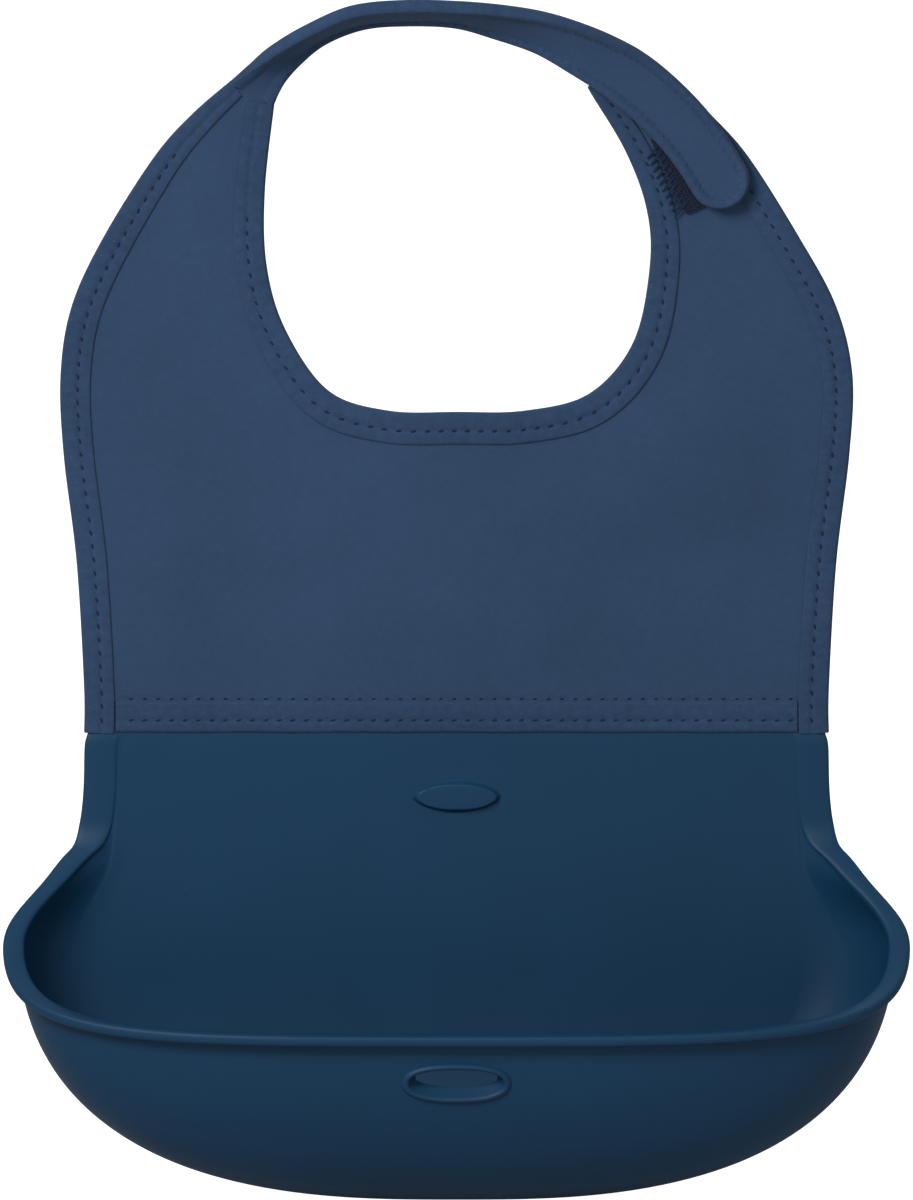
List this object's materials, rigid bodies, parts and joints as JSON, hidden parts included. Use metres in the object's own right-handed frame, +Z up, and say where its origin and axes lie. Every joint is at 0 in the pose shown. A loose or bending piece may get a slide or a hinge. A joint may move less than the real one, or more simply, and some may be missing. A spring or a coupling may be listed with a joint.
{
  "type": "silicone bib",
  "caption": "Baby bib: bound cloth top with a neck strap and hook-and-loop tab, sewn to a moulded silicone panel with an open catch-all pocket.",
  "frame": {"origin": "centre of the neck opening, in the middle of the cloth's thickness", "axes": "+Z up as worn, +X to the right as seen from the front, the front faces -Y"},
  "size_m": [0.2628, 0.0731, 0.3487],
  "materials": {
    "cloth": "matte navy polyester cloth, fine plain weave",
    "lining": "matte navy polyester lining",
    "binding": "matte navy folded binding tape",
    "thread": "navy polyester sewing thread",
    "loop_pile": "soft looped pile",
    "hook_tape": "nylon hook tape",
    "label": "plain satin label, blank",
    "silicone": "satin moulded silicone, deep blue"
  },
  "bodies": {
    "top": {"front_cloth": "cloth", "back_lining": "lining", "neck_binding": "binding", "left_binding": "binding", "right_binding": "binding", "hem_band_front": "binding", "hem_band_back": "binding", "silicone_flange": "silicone", "loop_patch": "loop_pile", "care_label": "label", "neck_stitches": "thread", "left_stitches": "thread", "right_stitches": "thread", "hem_upper_stitches": "thread", "hem_lower_stitches": "thread", "loop_patch_stitches": "thread"},
    "strap": {"strap_face": "cloth", "strap_lining": "lining", "strap_outer_binding": "binding", "strap_inner_binding": "binding", "strap_stitches": "thread"},
    "tab": {"tab_face": "cloth", "tab_lining": "lining", "tab_binding": "binding", "hook_patch": "hook_tape", "tab_stitches": "thread"},
    "pocket": {"silicone_pocket": "silicone"}
  },
  "joints": [
    {"name": "catcher_fold", "type": "hinge", "parent": "top", "child": "pocket", "pos_m": [0, 0, -0.154], "axis": [-1, 0, 0], "range_deg": [-118, 118]},
    {"name": "strap_swing", "type": "hinge", "parent": "top", "child": "strap", "pos_m": [-0.059, -0.0018, 0.0367], "axis": [0, 0, -1], "range_deg": [0, 110]},
    {"name": "tab_peel", "type": "hinge", "parent": "strap", "child": "tab", "pos_m": [0.0517, -0.0067, 0.0402], "axis": [-0.6157, 0, -0.788], "range_deg": [0, 120]}
  ]
}
